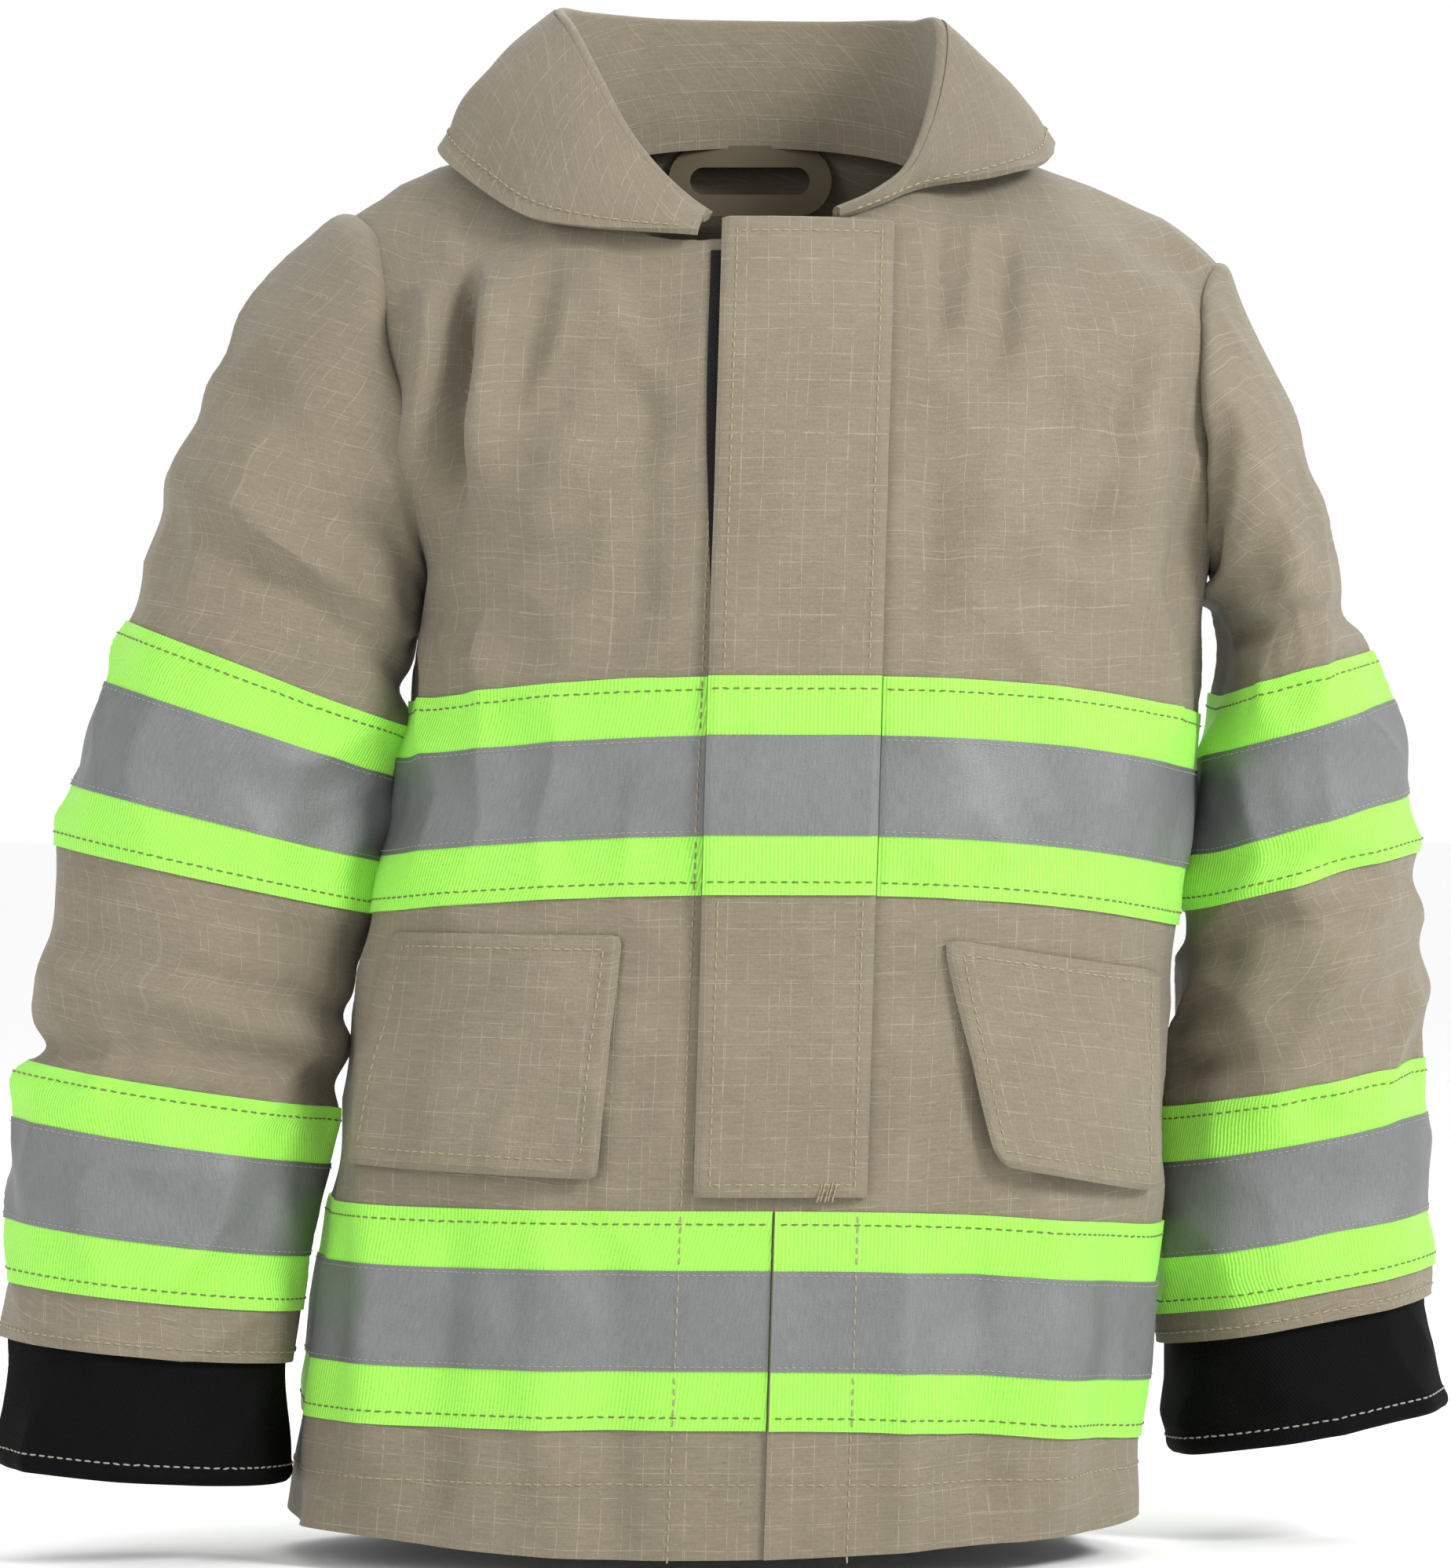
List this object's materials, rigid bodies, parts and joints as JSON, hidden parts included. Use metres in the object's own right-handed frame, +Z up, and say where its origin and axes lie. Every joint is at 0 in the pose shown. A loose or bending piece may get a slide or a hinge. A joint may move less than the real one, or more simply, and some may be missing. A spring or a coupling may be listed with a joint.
{
  "type": "turnout coat",
  "caption": "Child's turnout coat, worn shape, with storm flap, fold-down collar, pocket flaps, reflective trim and bending sleeves.",
  "frame": {"origin": "bottom centre of the bounding box, at the hem", "axes": "+Z up along the coat, the front faces -Y, the wearer's right side is at -X"},
  "size_m": [0.5218, 0.2011, 0.5568],
  "materials": {
    "khaki_shell": "ripstop weave, dull",
    "lime_trim": "ribbed fluorescent grosgrain",
    "reflective_silver": "beaded retroreflective, satin",
    "lining_black": "plain weave",
    "hook_and_loop": "looped pile",
    "cuff_black": "coarse plain weave",
    "collar_underside": "ripstop weave, dull",
    "loop_webbing": "webbing"
  },
  "bodies": {
    "coat_body": {"back_chest_silver": "reflective_silver", "back_chest_tape": "lime_trim", "back_hem_silver": "reflective_silver", "back_hem_tape": "lime_trim", "back_lining": "lining_black", "back_panel": "khaki_shell", "collar_stand": "collar_underside", "hanger_loop": "loop_webbing", "left_chest_silver": "reflective_silver", "left_chest_tape": "lime_trim", "left_front_lining": "lining_black", "left_front_panel": "khaki_shell", "left_hem_silver": "reflective_silver", "left_hem_tape": "lime_trim", "left_pocket_pouch": "lining_black", "right_chest_silver": "reflective_silver", "right_chest_tape": "lime_trim", "right_front_lining": "lining_black", "right_front_panel": "khaki_shell", "right_hem_silver": "reflective_silver", "right_hem_tape": "lime_trim", "right_pocket_pouch": "lining_black", "under_collar": "collar_underside", "upper_collar": "khaki_shell"},
    "right_front_edge": {"front_loop_strip": "hook_and_loop", "right_edge_chest_silver": "reflective_silver", "right_edge_chest_tape": "lime_trim", "right_edge_hem_silver": "reflective_silver", "right_edge_hem_tape": "lime_trim", "right_front_edge": "khaki_shell", "right_front_facing": "lining_black"},
    "left_front_edge": {"left_edge_hem_silver": "reflective_silver", "left_edge_hem_tape": "lime_trim", "left_front_edge": "khaki_shell", "left_front_facing": "lining_black"},
    "storm_flap": {"flap_hook_strip": "hook_and_loop", "flap_silver": "reflective_silver", "flap_tape": "lime_trim", "storm_flap": "khaki_shell"},
    "right_pocket_flap": {"right_pocket_flap": "khaki_shell"},
    "left_pocket_flap": {"left_pocket_flap": "khaki_shell"},
    "right_upper_sleeve": {"right_upper_sleeve": "khaki_shell", "right_upper_sleeve_lining": "lining_black", "right_upper_sleeve_silver": "reflective_silver", "right_upper_sleeve_tape": "lime_trim"},
    "left_upper_sleeve": {"left_upper_sleeve": "khaki_shell", "left_upper_sleeve_lining": "lining_black", "left_upper_sleeve_silver": "reflective_silver", "left_upper_sleeve_tape": "lime_trim"},
    "right_lower_sleeve": {"right_cuff": "cuff_black", "right_lower_sleeve": "khaki_shell", "right_lower_sleeve_lining": "lining_black", "right_lower_sleeve_silver": "reflective_silver", "right_lower_sleeve_tape": "lime_trim"},
    "left_lower_sleeve": {"left_cuff": "cuff_black", "left_lower_sleeve": "khaki_shell", "left_lower_sleeve_lining": "lining_black", "left_lower_sleeve_silver": "reflective_silver", "left_lower_sleeve_tape": "lime_trim"}
  },
  "joints": [
    {"name": "right_edge_fold", "type": "hinge", "parent": "coat_body", "child": "right_front_edge", "pos_m": [-0.025, -0.1075, 0], "axis": [0.03, 0.03, 0.9991], "range_deg": [-45, 0]},
    {"name": "left_edge_fold", "type": "hinge", "parent": "coat_body", "child": "left_front_edge", "pos_m": [0.051, -0.1075, 0], "axis": [-0.03, -0.03, -0.9991], "range_deg": [-70, 0]},
    {"name": "storm_flap_hinge", "type": "hinge", "parent": "left_front_edge", "child": "storm_flap", "pos_m": [0.045, -0.1075, 0], "axis": [0.03, 0.03, 0.9991], "range_deg": [0, 150]},
    {"name": "right_pocket_hinge", "type": "hinge", "parent": "coat_body", "child": "right_pocket_flap", "pos_m": [-0.0829, -0.082, 0.222], "axis": [0.88, -0.475, 0], "range_deg": [-140, 0]},
    {"name": "left_pocket_hinge", "type": "hinge", "parent": "coat_body", "child": "left_pocket_flap", "pos_m": [0.1242, -0.077, 0.2145], "axis": [0.8232, 0.5521, -0.132], "range_deg": [-140, 0]},
    {"name": "right_shoulder", "type": "hinge", "parent": "coat_body", "child": "right_upper_sleeve", "pos_m": [-0.1528, 0.003, 0.4805], "axis": [0, 1, 0], "range_deg": [0, 60]},
    {"name": "left_shoulder", "type": "hinge", "parent": "coat_body", "child": "left_upper_sleeve", "pos_m": [0.1775, 0.004, 0.463], "axis": [0, -1, 0], "range_deg": [0, 60]},
    {"name": "right_elbow", "type": "hinge", "parent": "right_upper_sleeve", "child": "right_lower_sleeve", "pos_m": [-0.191, -0.057, 0.207], "axis": [-0.9848, 0, 0.174], "range_deg": [0, 75]},
    {"name": "left_elbow", "type": "hinge", "parent": "left_upper_sleeve", "child": "left_lower_sleeve", "pos_m": [0.211, -0.026, 0.205], "axis": [-0.9781, 0, -0.208], "range_deg": [0, 75]}
  ],
  "couplings": [
    {"joint": "right_edge_fold", "follows": "storm_flap_hinge", "ratio": -0.3}
  ]
}
